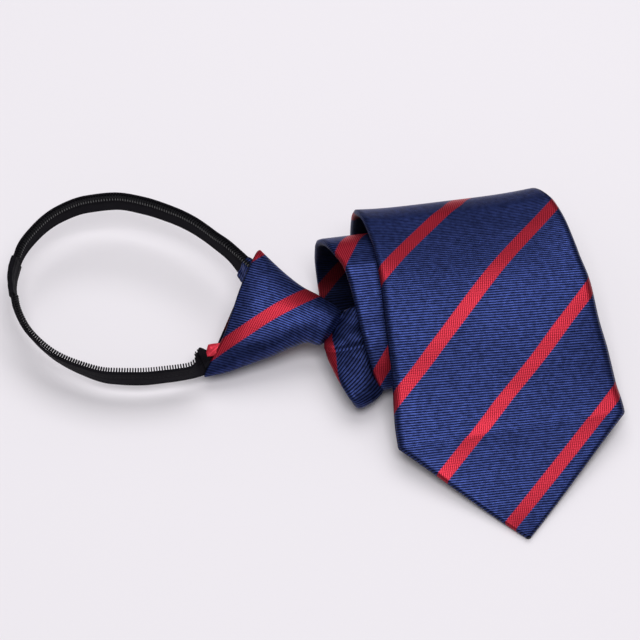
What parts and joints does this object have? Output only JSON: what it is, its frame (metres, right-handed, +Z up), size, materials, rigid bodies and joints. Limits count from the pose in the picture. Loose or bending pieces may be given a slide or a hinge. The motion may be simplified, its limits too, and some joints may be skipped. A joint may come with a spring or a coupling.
{
  "type": "zipper tie",
  "caption": "Ready-made striped silk necktie with a padded knot, its blade wound into a loose roll, and a zip-tape neck loop that widens and tightens.",
  "frame": {"origin": "middle of the object's box, on the surface that it lies on", "axes": "+X from the neck loop to the roll, +Y away from the blade's tip, +Z up"},
  "size_m": [0.2142, 0.1262, 0.0384],
  "materials": {
    "silk": "ribbed repp silk, navy with red diagonal stripes",
    "red_silk": "fine twill in the stripe's red",
    "padding": "pale interlining, rolled up",
    "zip_cloth": "black woven tape",
    "zip_nylon": "black moulded nylon"
  },
  "bodies": {
    "root": {"tie_blade": "silk", "knot_wrap": "silk", "knot_core": "padding", "corner_fold": "red_silk", "zip_tape_front": "zip_cloth", "zip_tape_back": "zip_cloth", "zip_coil_front": "zip_nylon", "zip_coil_back": "zip_nylon", "join_sleeve": "zip_cloth", "front_cuff": "zip_cloth", "back_cuff": "silk", "zip_slider": "zip_nylon"}
  },
  "joints": []
}
